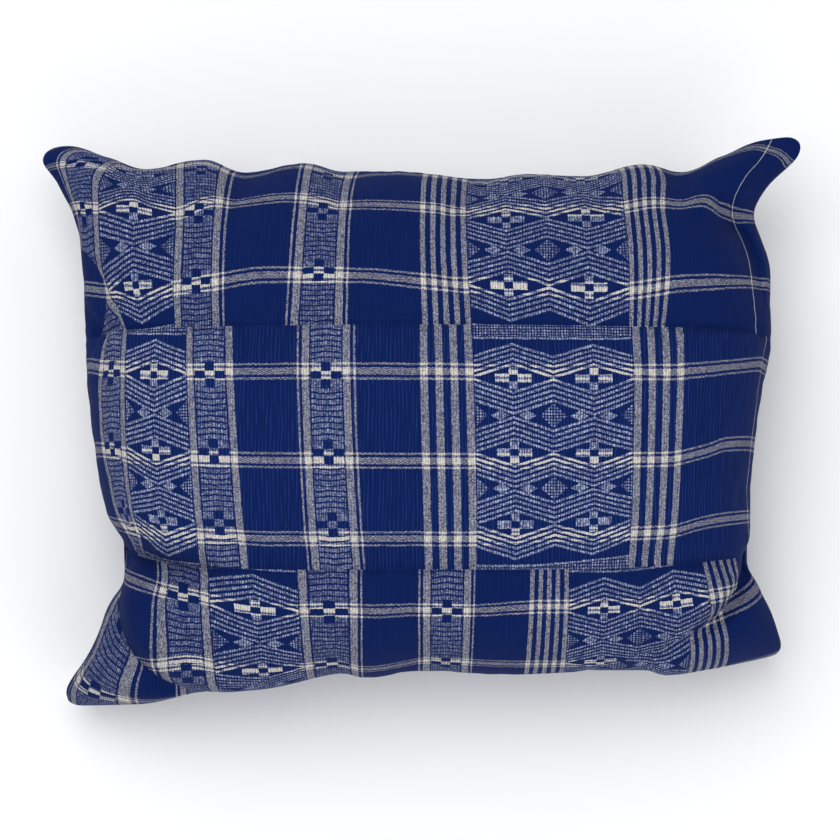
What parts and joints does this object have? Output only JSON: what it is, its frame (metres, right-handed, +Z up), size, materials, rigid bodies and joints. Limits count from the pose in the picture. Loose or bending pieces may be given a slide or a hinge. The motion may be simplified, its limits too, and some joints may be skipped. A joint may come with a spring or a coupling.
{
  "type": "strip-woven cushion",
  "caption": "Plump rectangular cushion with a crowned face, strips of patterned cloth joined by sewn channels, drawn-in sides and pointed ears.",
  "frame": {"origin": "on the surface the cushion lies on, under the middle of its box", "axes": "+X along the woven strips towards the plain end, +Y across the strips towards the upper strip, +Z up out of the face"},
  "size_m": [0.513, 0.3812, 0.16],
  "materials": {
    "cloth": "hand-woven cotton in deep indigo and white, matt, with fine ribs and brocaded lozenges and checks"
  },
  "bodies": {
    "root": {"cushion": "cloth"}
  },
  "joints": []
}
